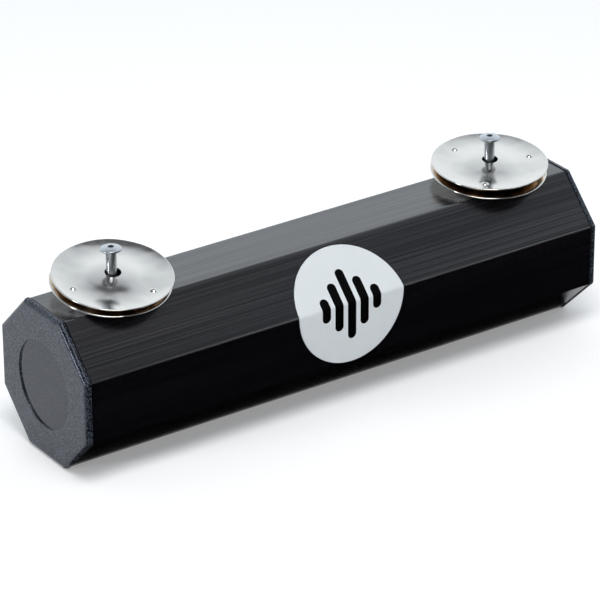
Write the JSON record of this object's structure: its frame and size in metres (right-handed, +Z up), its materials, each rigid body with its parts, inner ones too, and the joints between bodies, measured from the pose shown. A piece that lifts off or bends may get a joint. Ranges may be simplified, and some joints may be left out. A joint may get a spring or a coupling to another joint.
{
  "type": "percussion shaker",
  "caption": "Octagonal metal tube shaker with moulded end caps, loose shot inside and pairs of leaning jingles on rivets along its top flat.",
  "frame": {"origin": "under the middle of the tube, at the height of the surface that the caps rest on", "axes": "+X along the tube, +Z up through the jingles' flat, -Y towards the label"},
  "size_m": [0.2354, 0.0606, 0.0782],
  "materials": {
    "black_anodised_aluminium": "brushed lengthwise and anodised black",
    "black_moulded_abs": "fine moulded-in spark texture",
    "white_vinyl": "smooth, slightly glossy",
    "bare_aluminium": "satin, as drawn",
    "plain_steel": "plain, lightly oiled",
    "black_nylon": "matt",
    "nickel_plated_steel": "bright nickel plate, polished"
  },
  "bodies": {
    "shell": {"tube": "black_anodised_aluminium", "cap_left": "black_moulded_abs", "cap_right": "black_moulded_abs", "label": "white_vinyl", "rivet_left": "bare_aluminium", "rivet_right": "bare_aluminium", "rivet_stem_left": "plain_steel", "rivet_stem_right": "plain_steel", "collar_left": "black_nylon", "collar_right": "black_nylon"},
    "left_lower_jingle": {"jingle_left_lower": "nickel_plated_steel"},
    "left_upper_jingle": {"jingle_left_upper": "nickel_plated_steel"},
    "right_lower_jingle": {"jingle_right_lower": "nickel_plated_steel"},
    "right_upper_jingle": {"jingle_right_upper": "nickel_plated_steel"},
    "shot": {"beads": "plain_steel"}
  },
  "joints": [
    {"name": "left_lower_slide", "type": "slide", "parent": "shell", "child": "left_lower_jingle", "axis": [0, 0, 1], "range_m": [0, 0.0039]},
    {"name": "left_upper_slide", "type": "slide", "parent": "left_lower_jingle", "child": "left_upper_jingle", "axis": [0, 0, 1], "range_m": [0, 0.0039]},
    {"name": "right_lower_slide", "type": "slide", "parent": "shell", "child": "right_lower_jingle", "axis": [0, 0, 1], "range_m": [0, 0.0039]},
    {"name": "right_upper_slide", "type": "slide", "parent": "right_lower_jingle", "child": "right_upper_jingle", "axis": [0, 0, 1], "range_m": [0, 0.0039]},
    {"name": "shot_travel", "type": "slide", "parent": "shell", "child": "shot", "axis": [1, 0, 0], "range_m": [-0.065, 0.065]}
  ]
}
